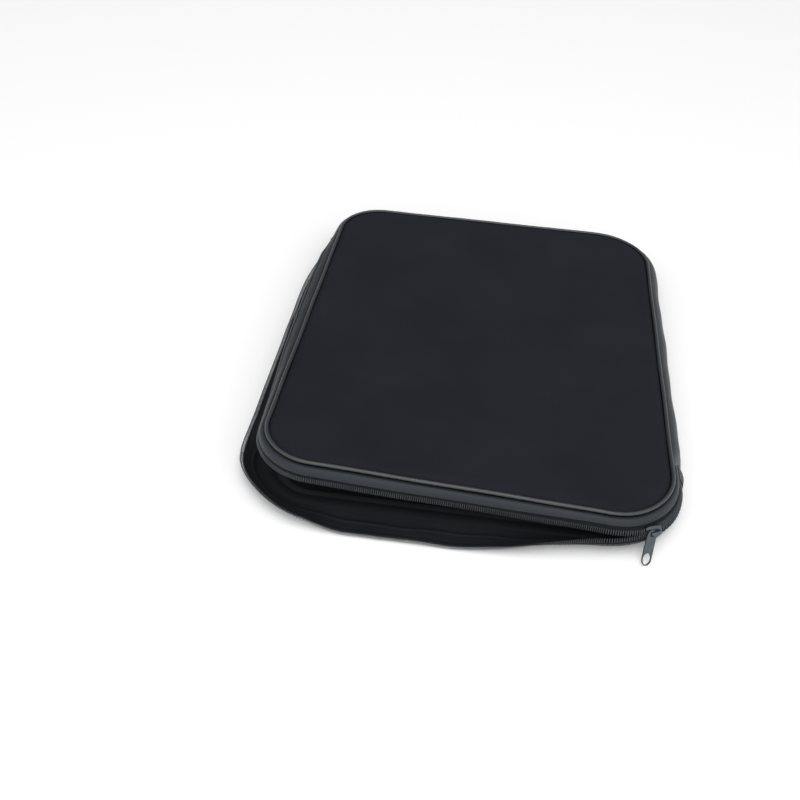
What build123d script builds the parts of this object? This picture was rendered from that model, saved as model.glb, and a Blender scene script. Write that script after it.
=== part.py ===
"""Laptop sleeve: two foam panels joined by a spine gusset and by a zip round two sides.

Frame: +Z up, +X to the spine side, +Y to the closed back edge.  The origin is the middle
of the base panel's outline, on the surface that the sleeve lies on.
The zip is open as far as the front right corner, and the free corner of the cover is
lifted a little about a diagonal fold.
"""
from build123d import *
from math import asin, atan2, cos, degrees, pi, radians, sin
import os

# Driving dimensions, in millimetres and degrees
panel_width = 288.0
panel_depth = 376.5
spine_corner_radius = 48.0
mouth_corner_radius = 38.0
shut_height = 30.0
skin_thickness = 0.8
foam_thickness = 3.4
piping_radius = 1.5
piping_clearance = 0.1
gusset_thickness = 1.1
binding_width = 8.0
binding_thickness = 0.6
corner_lift = 15.5
fold_end_left = 148.0
fold_end_corner_angle = 45.0
fold_gap = 0.3
panel_clearance = 0.2
seam_out = 1.9
seam_above_piping = 1.1
seam_open_height = 1.3
spine_crest = (9.6, 15.0)
spine_sag = (12.2, 5.6)

# Zip: a coil chain of two rows, with its centre bulged out past the panels
zip_centre = (8.2, 15.5)
zip_lean = 29.0
zip_bottom_end = -128.0
coil_width = 2.9
coil_thickness = 1.9
row_gap = 0.2
tape_show = 2.3
tape_thickness = 0.5
tape_clearance = 0.1
gusset_hem = 1.2
end_margin = 0.5
slider_angle = 36.0
slider_length = 12.0
slider_width = 9.6
slider_plate = 1.1
plate_back_radius = 3.2
plate_front_radius = 1.6
plate_rim_radius = 0.45
rail_length = 7.4
rail_width = 0.9
post_setback = 2.6
post_radii = (2.2, 1.2)
channel_depth = 3.2
tape_slot = 1.5
crown_length = 8.4
crown_rise = 3.0
crown_width = 2.2
crown_leg = 1.3
crown_bar = 1.0
crown_radius = 1.6
pull_length = 21.5
pull_width = 8.0
pull_thickness = 1.2
pull_rim = 0.9
pull_eye_radius = 1.75
pull_eye_wall = 1.25
pull_hole_reach = 4.0
pull_angle = 26.0
end_stop_length = 2.5
end_stop_swell = 0.7
end_tab_length = 5.0
end_tab_thickness = 0.9
end_tab_stand = 2.2
lining_thickness = 0.6
lining_seam_margin = 1.5
lining_hem_margin = 2.5

# How the open lower zip edge lies: lengths over which it falls and stands up again
mouth_fall_length = 130.0
back_fall_length = 110.0
corner_stand_length = 62.0
corner_stand_share = 0.6

# Sizes that follow from them
panel_thickness = 2 * skin_thickness + foam_thickness
panel_edge = -piping_radius - panel_clearance
spine_corner = Vector(panel_width / 2 - spine_corner_radius, -panel_depth / 2 + spine_corner_radius)
chain_up = Vector(-sin(radians(zip_lean)), cos(radians(zip_lean)))
chain_centre = Vector(*zip_centre)
row_reach = row_gap / 2 + coil_width
tape_reach = row_reach + tape_clearance + tape_show
gusset_reach = tape_reach + gusset_hem
base_seam = Vector(seam_out, piping_radius + seam_above_piping)
base_seam_open = Vector(seam_out, seam_open_height)
cover_seam = Vector(seam_out, shut_height - piping_radius - seam_above_piping)
lower_fold = chain_centre - chain_up * gusset_reach
upper_fold = chain_centre + chain_up * gusset_reach

# The fold: a diagonal from the back end of the zip, on the left, to the slider's corner
fold_left = Vector(-panel_width / 2, fold_end_left, shut_height)
fold_right = Vector(
    spine_corner.X + spine_corner_radius * sin(radians(fold_end_corner_angle)),
    spine_corner.Y - spine_corner_radius * cos(radians(fold_end_corner_angle)),
    shut_height,
)
fold_line = (fold_right - fold_left).normalized()
flap_side = Vector(fold_line.Y, -fold_line.X)
free_corner = Vector(-panel_width / 2, -panel_depth / 2, shut_height)
lift_angle = degrees(asin(corner_lift / (free_corner - fold_right).dot(flap_side)))
fold_frame = Plane(origin=fold_right, x_dir=fold_line, z_dir=(0, 0, 1))
lift = fold_frame.location * Rot(-lift_angle, 0, 0) * fold_frame.location.inverse()
flat = Location()
fold_cut = Plane(origin=fold_right, x_dir=fold_line, z_dir=flap_side)

os.makedirs("parts", exist_ok=True)


def write(piece, name):
    """Label a finished piece and write it as its own STEP file."""
    piece.part.label = name
    export_step(piece.part, f"parts/{name}.step")


def panel_outline(grow):
    """The panel's rounded outline, grown outwards, in the sketch that is open."""
    Rectangle(panel_width + 2 * grow, panel_depth + 2 * grow)
    fillet(vertices().group_by(Axis.X)[-1], spine_corner_radius + grow)
    fillet(vertices().group_by(Axis.X)[0], mouth_corner_radius + grow)


def keep_side(flap):
    """Cut the open part at the fold and keep the flap or the rest of the cover."""
    cut = fold_cut.offset(fold_gap / 2 if flap else -fold_gap / 2)
    split(bisect_by=Plane(lift * cut.location) if flap else cut, keep=Keep.TOP if flap else Keep.BOTTOM)


# The paths round the panel's outline, both clockwise seen from above
with BuildLine() as zip_line:
    FilletPolyline(
        (panel_width / 2, zip_bottom_end),
        (panel_width / 2, -panel_depth / 2),
        (-panel_width / 2, -panel_depth / 2),
        (-panel_width / 2, fold_end_left),
        radius=(spine_corner_radius, mouth_corner_radius),
    )
with BuildLine() as spine_line:
    FilletPolyline(
        (-panel_width / 2, fold_end_left),
        (-panel_width / 2, panel_depth / 2),
        (panel_width / 2, panel_depth / 2),
        (panel_width / 2, zip_bottom_end),
        radius=(mouth_corner_radius, spine_corner_radius),
    )
zip_path = zip_line.wire()
spine_path = spine_line.wire()

# Where the zip's straights and corners begin, as lengths along its path
corner_start = zip_bottom_end + panel_depth / 2 - spine_corner_radius
corner_end = corner_start + spine_corner_radius * pi / 2
front_end = corner_end + panel_width - spine_corner_radius - mouth_corner_radius
left_start = front_end + mouth_corner_radius * pi / 2
zip_end = zip_path.length


def at_corner_angle(angle):
    """Length along the zip's path of a point on the slider's corner, 0 at the front edge."""
    return corner_start + spine_corner_radius * radians(90 - angle)


half_slider_angle = degrees(slider_length / 2 / (spine_corner_radius + zip_centre[0]))
mouth_stop = at_corner_angle(slider_angle - half_slider_angle - 1)
throat_stop = at_corner_angle(slider_angle + 0.5)


def zip_stops(first, last):
    """Lengths along the zip's path between two limits, closer together round the corners."""
    stretches = [
        (0, corner_start, 2),
        (corner_start, corner_end, 8),
        (corner_end, front_end, 10),
        (front_end, left_start, 7),
        (left_start, zip_end, 10),
    ]
    marks = [a + (b - a) * i / n for a, b, n in stretches for i in range(n)]
    return [first] + [m for m in marks if first + 1.5 < m < last - 1.5] + [last]


def spine_stops():
    """Lengths along the spine gusset's path."""
    back_start = panel_depth / 2 - mouth_corner_radius - fold_end_left
    back_left = back_start + mouth_corner_radius * pi / 2
    back_right = back_left + panel_width - mouth_corner_radius - spine_corner_radius
    side_start = back_right + spine_corner_radius * pi / 2
    stretches = [
        (0, back_start, 1),
        (back_start, back_left, 7),
        (back_left, back_right, 2),
        (back_right, side_start, 8),
        (side_start, spine_path.length, 2),
    ]
    return [a + (b - a) * i / n for a, b, n in stretches for i in range(n)] + [spine_path.length]


def section_plane(path, length, place=flat):
    """The plane across a path: X outwards, Y up, Z along the path."""
    along = path.tangent_at(length, position_mode=PositionMode.LENGTH)
    spot = path.position_at(length, position_mode=PositionMode.LENGTH)
    across = Plane(origin=spot, x_dir=Vector(0, 0, 1).cross(along), z_dir=along)
    return Plane(place * across.location)


def strip_outline(points, thickness):
    """The closed outline of a strip of cloth that follows two or three points."""
    runs = [(b - a).normalized() for a, b in zip(points, points[1:])]
    sides = [Vector(-run.Y, run.X) * (thickness / 2) for run in runs]
    mids = [(a + b) * (1 / (1 + a.normalized().dot(b.normalized()))) for a, b in zip(sides, sides[1:])]
    out = [sides[0]] + mids + [sides[-1]]
    upper = [p + o for p, o in zip(points, out)]
    lower = [p - o for p, o in zip(points, out)]
    return [(v.X, v.Y) for v in upper + lower[::-1]]


def sewn_strip(path, stops, profile, thickness, place=flat):
    """Loft a strip of cloth along a path, inside the part that is open."""
    sections = []
    for stop in stops:
        with BuildSketch(section_plane(path, stop, place)) as section:
            Polygon(*strip_outline(profile(stop), thickness), align=None)
        sections.append(section.sketch)
    loft(sections=sections, ruled=True)


def eased(share):
    """A share held between 0 and 1 and smoothed at both ends."""
    held = min(1, max(0, share))
    return held * held * (3 - 2 * held)


def openness(stop):
    """How far the lower zip edge has fallen outwards: 0 zipped upright, 1 flat on the surface.

    The tape can't stretch round the corner, so the edge stands up again there.
    """
    mouth_fall = eased((stop - mouth_stop) / mouth_fall_length)
    back_fall = eased((zip_end - stop) / back_fall_length)
    corner_middle = (front_end + left_start) / 2
    corner_stand = corner_stand_share * (1 - eased(abs(stop - corner_middle) / corner_stand_length))
    return min(mouth_fall, back_fall) * (1 - corner_stand)


def lower_profile(near, far):
    """Profile of the lower zip edge between two reaches past its gusset's seam fold."""
    shut_run = lower_fold - base_seam

    def points(stop):
        t = openness(stop)
        seam = base_seam + (base_seam_open - base_seam) * t
        gusset_tilt = degrees(atan2(shut_run.X, shut_run.Y))
        gusset_tilt += (90 - gusset_tilt) * t
        tape_tilt = -zip_lean + (90 + zip_lean) * t
        fold = seam + Vector(sin(radians(gusset_tilt)), cos(radians(gusset_tilt))) * shut_run.length
        tape = Vector(sin(radians(tape_tilt)), cos(radians(tape_tilt)))
        if near is None:
            return [seam, fold]
        return [fold + tape * (gusset_reach - far), fold + tape * (gusset_reach - near)]

    return points


def upper_profile(near, far):
    """Profile of the upper zip edge between two reaches from the chain's centre."""
    if near is None:
        return lambda stop: [cover_seam, upper_fold]
    return lambda stop: [chain_centre + chain_up * near, chain_centre + chain_up * far]


# ---------------------------------------------------------------- base panel
base_layers = {
    "base_outer": (0, skin_thickness),
    "base_foam": (skin_thickness, foam_thickness),
    "base_lining": (skin_thickness + foam_thickness, skin_thickness),
}
for name, (height, thickness) in base_layers.items():
    with BuildPart() as layer:
        with BuildSketch(Plane.XY.offset(height)):
            panel_outline(panel_edge)
        extrude(amount=thickness)
    write(layer, name)

# ---------------------------------------------------------------- base binding and piping
# Binding tape that covers the base panel's inside seam
with BuildPart() as base_binding:
    with BuildSketch(Plane.XY.offset(panel_thickness)):
        panel_outline(panel_edge)
    extrude(amount=binding_thickness)
    with BuildSketch(Plane.XY.offset(panel_thickness)):
        panel_outline(panel_edge - binding_width)
    extrude(amount=binding_thickness, mode=Mode.SUBTRACT)
write(base_binding, "base_binding")


def piping(height, place=flat):
    """A round piping cord along the panel's outline at a height, inside the part that is open."""
    for path in (zip_path, spine_path):
        with BuildSketch(section_plane(path, 0, place)) as section:
            with Locations((0, height)):
                Circle(piping_radius)
        sweep(sections=section.sketch, path=path.moved(place * Pos(0, 0, height)))


with BuildPart() as base_piping:
    piping(piping_radius + piping_clearance)
write(base_piping, "base_piping")

# ---------------------------------------------------------------- cover, in two nodes each
cover_layers = {
    "cover_lining": (shut_height - panel_thickness, skin_thickness),
    "cover_foam": (shut_height - skin_thickness - foam_thickness, foam_thickness),
    "cover_outer": (shut_height - skin_thickness, skin_thickness),
}
for side, place in (("rear", flat), ("flap", lift)):
    for name, (height, thickness) in cover_layers.items():
        with BuildPart() as layer:
            with BuildSketch(Plane(place * Plane.XY.offset(height).location)):
                panel_outline(panel_edge)
            extrude(amount=thickness)
            keep_side(side == "flap")
        write(layer, f"{name}_{side}")

    binding_plane = Plane(place * Plane.XY.offset(shut_height - panel_thickness).location)
    with BuildPart() as cover_binding:
        with BuildSketch(binding_plane):
            panel_outline(panel_edge)
        extrude(amount=-binding_thickness)
        with BuildSketch(binding_plane):
            panel_outline(panel_edge - binding_width)
        extrude(amount=-binding_thickness, mode=Mode.SUBTRACT)
        keep_side(side == "flap")
    write(cover_binding, f"cover_binding_{side}")

    with BuildPart() as cover_piping:
        piping(shut_height - piping_radius - piping_clearance, place)
        keep_side(side == "flap")
    write(cover_piping, f"cover_piping_{side}")

# ---------------------------------------------------------------- gussets and their linings


def lined(profile, inner_side):
    """The profile of a lining that backs a gusset, on the side given as +1 or -1."""

    def points(stop):
        seam, *_, fold = profile(stop)
        run = (fold - seam).normalized()
        inwards = Vector(-run.Y, run.X) * inner_side * (gusset_thickness + lining_thickness + 0.2) / 2
        return [seam + run * lining_seam_margin + inwards, fold - run * lining_hem_margin + inwards]

    return points


def spine_profile(stop):
    """The spine gusset's profile: it folds outwards along its middle and sags below that."""
    return [cover_seam, Vector(*spine_crest), Vector(*spine_sag), base_seam]


with BuildPart() as spine_gusset:
    sewn_strip(spine_path, spine_stops(), spine_profile, gusset_thickness)
write(spine_gusset, "spine_gusset")

whole_zip = zip_stops(end_margin, zip_end - end_margin)
lower_cloth = lower_profile(None, None)
upper_cloth = upper_profile(None, None)
gusset_layers = {
    "gusset": (lower_cloth, upper_cloth, gusset_thickness),
    "gusset_lining": (lined(lower_cloth, 1), lined(upper_cloth, -1), lining_thickness),
}
for name, (lower_layer, upper_layer, thickness) in gusset_layers.items():
    with BuildPart() as lower_gusset:
        sewn_strip(zip_path, whole_zip, lower_layer, thickness)
    write(lower_gusset, f"lower_{name}")

    for side, place in (("rear", flat), ("flap", lift)):
        with BuildPart() as upper_gusset:
            sewn_strip(zip_path, whole_zip, upper_layer, thickness, place)
            keep_side(side == "flap")
        write(upper_gusset, f"upper_{name}_{side}")

# ---------------------------------------------------------------- zip tapes
lower_tape = lower_profile(row_reach + tape_clearance, tape_reach)
with BuildPart() as lower_zip_tape:
    sewn_strip(zip_path, zip_stops(end_margin, mouth_stop), lower_tape, tape_thickness)
    sewn_strip(zip_path, zip_stops(mouth_stop, zip_end - end_margin), lower_tape, tape_thickness)
write(lower_zip_tape, "lower_zip_tape")

upper_tape = upper_profile(row_reach + tape_clearance, tape_reach)
with BuildPart() as upper_zip_tape_rear:
    sewn_strip(zip_path, zip_stops(end_margin, mouth_stop - end_margin), upper_tape, tape_thickness)
write(upper_zip_tape_rear, "upper_zip_tape_rear")

with BuildPart() as upper_zip_tape_flap:
    sewn_strip(zip_path, zip_stops(mouth_stop, zip_end - 2), upper_tape, tape_thickness, lift)
write(upper_zip_tape_flap, "upper_zip_tape_flap")

# ---------------------------------------------------------------- coil rows
lower_row = lower_profile(row_gap / 2, row_reach)
upper_row = upper_profile(row_gap / 2, row_reach)
shut_row = zip_stops(end_stop_length + 1, throat_stop)
open_row = zip_stops(mouth_stop, zip_end - end_stop_length - 2)

with BuildPart() as lower_zip_coil:
    sewn_strip(zip_path, shut_row, lower_row, coil_thickness)
    sewn_strip(zip_path, open_row, lower_row, coil_thickness)
write(lower_zip_coil, "lower_zip_coil")

with BuildPart() as upper_zip_coil_rear:
    sewn_strip(zip_path, shut_row, upper_row, coil_thickness)
write(upper_zip_coil_rear, "upper_zip_coil_rear")

with BuildPart() as upper_zip_coil_flap:
    sewn_strip(zip_path, open_row, upper_row, coil_thickness, lift)
write(upper_zip_coil_flap, "upper_zip_coil_flap")

# ---------------------------------------------------------------- stops and end tab
with BuildPart() as bottom_stop:
    both_rows = upper_profile(-row_reach, row_reach)
    sewn_strip(zip_path, [end_margin, end_margin + end_stop_length], both_rows, coil_thickness + end_stop_swell)
write(bottom_stop, "zip_bottom_stop")

top_stop_span = [zip_end - end_stop_length - 1.8, zip_end - 1.8]
for name, row, place in (("lower", lower_row, flat), ("upper", upper_row, lift)):
    with BuildPart() as top_stop:
        sewn_strip(zip_path, top_stop_span, row, coil_thickness + end_stop_swell, place)
    write(top_stop, f"{name}_top_stop")

with BuildPart() as zip_end_tab:
    chain_out = Vector(cos(radians(zip_lean)), sin(radians(zip_lean)))
    tab_middle = chain_centre + chain_out * end_tab_stand
    tab_profile = [tab_middle - chain_up * tape_reach, tab_middle + chain_up * tape_reach]
    sewn_strip(zip_path, [end_margin, end_margin + end_tab_length], lambda stop: tab_profile, end_tab_thickness)
write(zip_end_tab, "zip_end_tab")

# ---------------------------------------------------------------- slider
# The slider's plane: X towards the zip's open end, Z out of its outer plate
slider_section = section_plane(zip_path, at_corner_angle(slider_angle))
slider_centre = slider_section.from_local_coords(Vector(*zip_centre))
plate_normal = slider_section.x_dir * cos(radians(zip_lean)) + slider_section.y_dir * sin(radians(zip_lean))
slider_plane = Plane(origin=slider_centre, x_dir=slider_section.z_dir, z_dir=plate_normal)
plate_top = channel_depth / 2 + slider_plate

with BuildPart() as slider_body:
    for side in (-1, 1):
        with BuildSketch(slider_plane.offset(side * channel_depth / 2)) as plate:
            Rectangle(slider_length, slider_width)
            fillet(plate.vertices().group_by(Axis.X)[0], plate_back_radius)
            fillet(plate.vertices().group_by(Axis.X)[-1], plate_front_radius)
        extrude(amount=side * slider_plate)
        with BuildSketch(slider_plane.offset(side * channel_depth / 2)):
            with GridLocations(0, slider_width - rail_width, 1, 2):
                Rectangle(rail_length, rail_width)
        extrude(amount=-side * (channel_depth - tape_slot) / 2)
    with BuildSketch(slider_plane.offset(-channel_depth / 2)):
        with Locations((slider_length / 2 - post_setback, 0)):
            Ellipse(*post_radii)
    extrude(amount=channel_depth)
    outer_rim = slider_body.faces().filter_by(slider_plane).sort_by(Axis(slider_centre, plate_normal))[-1]
    fillet(outer_rim.edges(), plate_rim_radius)
write(slider_body, "slider_body")

# The crown: an arch along the slider that its pull hangs on
with BuildPart() as slider_crown:
    with BuildSketch(Plane(origin=slider_centre, x_dir=slider_plane.x_dir, z_dir=-slider_plane.y_dir)) as arch:
        with Locations((0, plate_top + crown_rise / 2)):
            Rectangle(crown_length, crown_rise)
        fillet(arch.vertices().group_by(Axis.Y)[-1], crown_radius)
        tunnel_rise = crown_rise - crown_bar
        with Locations((0, plate_top + tunnel_rise / 2)):
            Rectangle(crown_length - 2 * crown_leg, tunnel_rise, mode=Mode.SUBTRACT)
    extrude(amount=crown_width / 2, both=True)
write(slider_crown, "slider_crown")

# The pull: a flat tab with an eye round the crown's front leg and an oval hole at its end
pivot_reach = crown_length / 2 - crown_leg / 2
pull_rest = plate_top + (crown_rise - crown_bar - pull_thickness) / 2
pull_pivot = slider_plane.from_local_coords(Vector(pivot_reach, 0, pull_rest))
pull_way = slider_plane.y_dir * cos(radians(pull_angle)) + slider_plane.x_dir * sin(radians(pull_angle))
pull_plane = Plane(origin=pull_pivot, x_dir=pull_way, z_dir=plate_normal)
with BuildPart() as pull_tab:
    with BuildSketch(pull_plane) as tab:
        Circle(pull_eye_radius + pull_eye_wall)
        with Locations((pull_length - pull_width / 2, 0)):
            Circle(pull_width / 2)
        with Locations((pull_width * 0.75, 0)):
            Circle(pull_width / 2 - 0.3)
        make_hull()
        Circle(pull_eye_radius, mode=Mode.SUBTRACT)
        with Locations((pull_length - pull_rim - pull_hole_reach, 0)):
            Ellipse(pull_hole_reach, pull_width / 2 - pull_rim, mode=Mode.SUBTRACT)
    extrude(amount=pull_thickness)
write(pull_tab, "pull_tab")

# Joint places in metres, with each axis and the angle from rest to shut or straight
pivots = {
    "flap fold": (fold_right, -fold_line, lift_angle),
    "slider corner": (spine_corner, Vector(0, 0, 1), slider_angle),
    "pull swivel": (pull_pivot, -plate_normal, pull_angle),
}
for name, (spot, axis, angle) in pivots.items():
    place = [round(v / 1000, 6) for v in spot]
    print(name, place, [round(v, 6) for v in axis], round(angle, 3))
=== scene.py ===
import math

import bpy
import numpy as np
from mathutils import Matrix, Vector


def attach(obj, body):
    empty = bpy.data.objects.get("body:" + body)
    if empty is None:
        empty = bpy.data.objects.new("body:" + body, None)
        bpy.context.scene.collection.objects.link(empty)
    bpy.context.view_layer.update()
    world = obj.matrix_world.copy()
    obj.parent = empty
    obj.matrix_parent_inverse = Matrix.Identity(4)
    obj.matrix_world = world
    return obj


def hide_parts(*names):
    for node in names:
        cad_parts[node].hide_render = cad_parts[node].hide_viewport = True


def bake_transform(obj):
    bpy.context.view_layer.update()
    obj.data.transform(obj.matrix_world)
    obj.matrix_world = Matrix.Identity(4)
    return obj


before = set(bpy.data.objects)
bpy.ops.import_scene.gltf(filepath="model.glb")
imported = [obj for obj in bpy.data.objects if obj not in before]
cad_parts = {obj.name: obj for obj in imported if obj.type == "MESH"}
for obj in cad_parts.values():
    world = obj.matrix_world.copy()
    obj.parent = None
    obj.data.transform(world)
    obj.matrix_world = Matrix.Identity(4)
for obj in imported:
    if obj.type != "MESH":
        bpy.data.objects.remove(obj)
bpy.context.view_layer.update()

mm = 0.001

# ------------------------------------------------------------------ the table and the studio
# A plain pale table top under a soft white sky that is brighter in front and on the right, with a
# broad lamp overhead, a small one in front, and the camera over the sleeve's front edge.
bpy.ops.object.select_all(action="DESELECT")
bpy.ops.mesh.primitive_grid_add(x_subdivisions=8, y_subdivisions=8, size=12)
table_top = bpy.context.object
table_top.name = "table_top"
table_paint = bpy.data.materials.new("table_paint")
table_paint.use_nodes = True
table_shader = table_paint.node_tree.nodes["Principled BSDF"]
table_shader.inputs["Base Color"].default_value = (0.93, 0.93, 0.93, 1)
table_shader.inputs["Roughness"].default_value = 0.7
table_shader.inputs["Specular IOR Level"].default_value = 0.2
table_top.data.materials.append(table_paint)

sky_level = 0.90
brighter_to_right = 0.2
brighter_to_back = -0.7
sky = bpy.data.worlds.new("sky")
sky.use_nodes = True
sky_light = sky.node_tree.nodes["Background"]
sky_light.inputs["Color"].default_value = (1, 1, 1, 1)
sky_parts = sky.node_tree.nodes.new("ShaderNodeSeparateXYZ")
sky_way = sky.node_tree.nodes.new("ShaderNodeTexCoord")
sky.node_tree.links.new(sky_way.outputs["Generated"], sky_parts.inputs[0])
towards_right = sky.node_tree.nodes.new("ShaderNodeMath")
towards_right.operation = "MULTIPLY_ADD"
towards_right.inputs[1].default_value = brighter_to_right
towards_right.inputs[2].default_value = sky_level
sky.node_tree.links.new(sky_parts.outputs["X"], towards_right.inputs[0])
towards_front = sky.node_tree.nodes.new("ShaderNodeMath")
towards_front.operation = "MULTIPLY_ADD"
towards_front.inputs[1].default_value = brighter_to_back
sky.node_tree.links.new(sky_parts.outputs["Y"], towards_front.inputs[0])
sky.node_tree.links.new(towards_right.outputs[0], towards_front.inputs[2])
sky.node_tree.links.new(towards_front.outputs[0], sky_light.inputs["Strength"])
bpy.context.scene.world = sky
bpy.context.scene.view_settings.view_transform = "Standard"


def hang_lamp(name, place, aim, size, power):
    """A square soft lamp at a place, turned towards a point."""
    bpy.ops.object.light_add(type="AREA", location=place)
    lamp = bpy.context.object
    lamp.name = name
    lamp.data.size = size
    lamp.data.energy = power
    lamp.rotation_mode = "QUATERNION"
    lamp.rotation_quaternion = (Vector(aim) - Vector(place)).to_track_quat("-Z", "Y")


hang_lamp("front_lamp", place=(0.1, -0.75, 0.8), aim=(-0.05, -0.2, 0), size=0.5, power=1.8)
hang_lamp("top_lamp", place=(0.1, -0.25, 1.9), aim=(0, 0.05, 0), size=1.6, power=8)

azimuth = math.radians(5.236)
elevation = math.radians(39.757)
roll = math.radians(3.477)
look_at = Vector((-59.08, -61.12, 0)) * mm
camera_distance = 778 * mm
picture_width = 800
focal_length = 973.8
sensor_width = 36
back = Vector((
    math.sin(azimuth) * math.cos(elevation),
    -math.cos(azimuth) * math.cos(elevation),
    math.sin(elevation),
))
level_right = Vector((0, 0, 1)).cross(back).normalized()
level_up = back.cross(level_right)
right = level_right * math.cos(roll) + level_up * math.sin(roll)
up = level_up * math.cos(roll) - level_right * math.sin(roll)
bpy.ops.object.camera_add(location=look_at + back * camera_distance)
camera = bpy.context.object
camera.rotation_mode = "QUATERNION"
camera.rotation_quaternion = Matrix((right, up, back)).transposed().to_quaternion()
camera.data.lens = focal_length / picture_width * sensor_width
camera.data.clip_start = 0.01
bpy.context.scene.camera = camera

# ------------------------------------------------------------------ base panel
# The panel that lies on the table: foam with a knitted face cloth under it and a smooth lining on
# it, cut to a rounded oblong with wider corners on the spine side.
panel_width = 288 * mm
panel_depth = 376.5 * mm
spine_radius = 48 * mm
mouth_radius = 38 * mm
panel_inset = 1.7 * mm
skin = 0.8 * mm
foam = 3.4 * mm
shut_height = 30 * mm
panel_columns = 80
panel_rows = 104


def inside_outline(x, y):
    """How far each point lies inside the panel's cut edge."""
    radius = np.where(x > 0, spine_radius, mouth_radius) - panel_inset
    over_x = np.abs(x) - (panel_width / 2 - panel_inset - radius)
    over_y = np.abs(y) - (panel_depth / 2 - panel_inset - radius)
    round_corner = np.hypot(np.maximum(over_x, 0), np.maximum(over_y, 0))
    return radius - round_corner - np.minimum(np.maximum(over_x, over_y), 0)


def points_of(piece):
    """A piece's points as rows of three numbers."""
    flat = np.zeros(len(piece.data.vertices) * 3)
    piece.data.vertices.foreach_get("co", flat)
    return flat.reshape(-1, 3)


def set_points(piece, points):
    """Move a piece's points to those rows of three numbers."""
    piece.data.vertices.foreach_set("co", np.asarray(points, float).ravel())
    piece.data.update()


def cut_cloth(name, along, across):
    """A flat square of cloth with that many squares each way, with nothing else selected."""
    bpy.ops.object.select_all(action="DESELECT")
    bpy.ops.mesh.primitive_grid_add(x_subdivisions=along, y_subdivisions=across, size=2)
    cloth = bpy.context.object
    cloth.name = name
    cloth.data.name = name
    return cloth


def cut_panel(name):
    """Cloth cut to the panel's rounded outline, with closer rows towards its edge."""
    cloth = cut_cloth(name, along=panel_columns, across=panel_rows)
    share = points_of(cloth)
    reach = panel_depth / 2 - panel_inset
    turn = spine_radius - panel_inset
    straight = reach - turn
    straight_share = 0.62
    row = np.abs(share[:, 1])
    in_corner = np.clip((row - straight_share) / (1 - straight_share), 0, 1) * math.pi / 2
    on_straight = row / straight_share * straight
    row_reach = np.where(row < straight_share, on_straight, straight + turn * np.sin(in_corner))
    y = np.sign(share[:, 1]) * row_reach
    left_turn = mouth_radius - panel_inset
    half = panel_width / 2 - panel_inset
    left_over = np.maximum(np.abs(y) - (reach - left_turn), 0)
    right_over = np.maximum(np.abs(y) - straight, 0)
    left_edge = -half + left_turn - np.sqrt(np.maximum(left_turn**2 - left_over**2, 0))
    right_edge = half - turn + np.sqrt(np.maximum(turn**2 - right_over**2, 0))
    crowding = 0.35
    column = np.sin(share[:, 0] * math.pi / 2) * crowding + share[:, 0] * (1 - crowding)
    x = (left_edge + right_edge) / 2 + column * (right_edge - left_edge) / 2
    set_points(cloth, np.stack([x, y, np.zeros(len(x))], 1))
    return cloth


def thicken(piece, thickness):
    """Give a sheet its thickness, half of it on each side."""
    bpy.ops.object.select_all(action="DESELECT")
    piece.select_set(True)
    bpy.context.view_layer.objects.active = piece
    wall = piece.modifiers.new("thickness", "SOLIDIFY")
    wall.thickness = thickness
    wall.offset = 0
    bpy.ops.object.modifier_apply(modifier="thickness")
    bpy.ops.object.shade_smooth_by_angle(angle=math.radians(50))


def effect_group(name, inputs, outputs):
    """An empty shader effect with named number or vector inputs and named outputs."""
    effect = bpy.data.node_groups.new(name, "ShaderNodeTree")
    for label, kind, value in inputs:
        socket = effect.interface.new_socket(name=label, in_out="INPUT", socket_type=kind)
        if value is not None:
            socket.default_value = value
    for label in outputs:
        effect.interface.new_socket(name=label, in_out="OUTPUT", socket_type="NodeSocketFloat")
    return effect, effect.nodes.new("NodeGroupInput"), effect.nodes.new("NodeGroupOutput")


def reckon(tree, operation, a, b=0.0, c=0.0):
    """A Math node on sockets or numbers, as its output socket."""
    node = tree.nodes.new("ShaderNodeMath")
    node.operation = operation
    for socket, value in zip(node.inputs, (a, b, c)):
        if isinstance(value, bpy.types.NodeSocket):
            tree.links.new(value, socket)
        else:
            socket.default_value = value
    return node.outputs[0]


# Threads that pass over and under each other: a small bump at each crossing
weave, weave_in, weave_out = effect_group(
    "crossed_threads",
    [("Place", "NodeSocketVector", None), ("Thread", "NodeSocketFloat", 0.0006)],
    ["Height", "Tone"],
)
weave_parts = weave.nodes.new("ShaderNodeSeparateXYZ")
weave.links.new(weave_in.outputs["Place"], weave_parts.inputs[0])
weave_turn = reckon(weave, "DIVIDE", math.pi, weave_in.outputs["Thread"])
warp = reckon(weave, "SINE", reckon(weave, "MULTIPLY", weave_parts.outputs["X"], weave_turn))
weft = reckon(weave, "SINE", reckon(weave, "MULTIPLY", weave_parts.outputs["Y"], weave_turn))
crossing = reckon(weave, "MULTIPLY", warp, weft)
weave.links.new(reckon(weave, "SQRT", reckon(weave, "ABSOLUTE", crossing)), weave_out.inputs["Height"])
weave.links.new(reckon(weave, "MULTIPLY_ADD", crossing, 0.5, 0.5), weave_out.inputs["Tone"])

# Broad soft patches, as where cloth has been handled
handled, handled_in, handled_out = effect_group(
    "handled_patches",
    [("Place", "NodeSocketVector", None), ("Size", "NodeSocketFloat", 0.05)],
    ["Tone"],
)
patch_noise = handled.nodes.new("ShaderNodeTexNoise")
patch_noise.inputs["Detail"].default_value = 3
handled.links.new(handled_in.outputs["Place"], patch_noise.inputs["Vector"])
handled.links.new(reckon(handled, "DIVIDE", 1, handled_in.outputs["Size"]), patch_noise.inputs["Scale"])
handled.links.new(patch_noise.outputs["Fac"], handled_out.inputs["Tone"])

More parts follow.
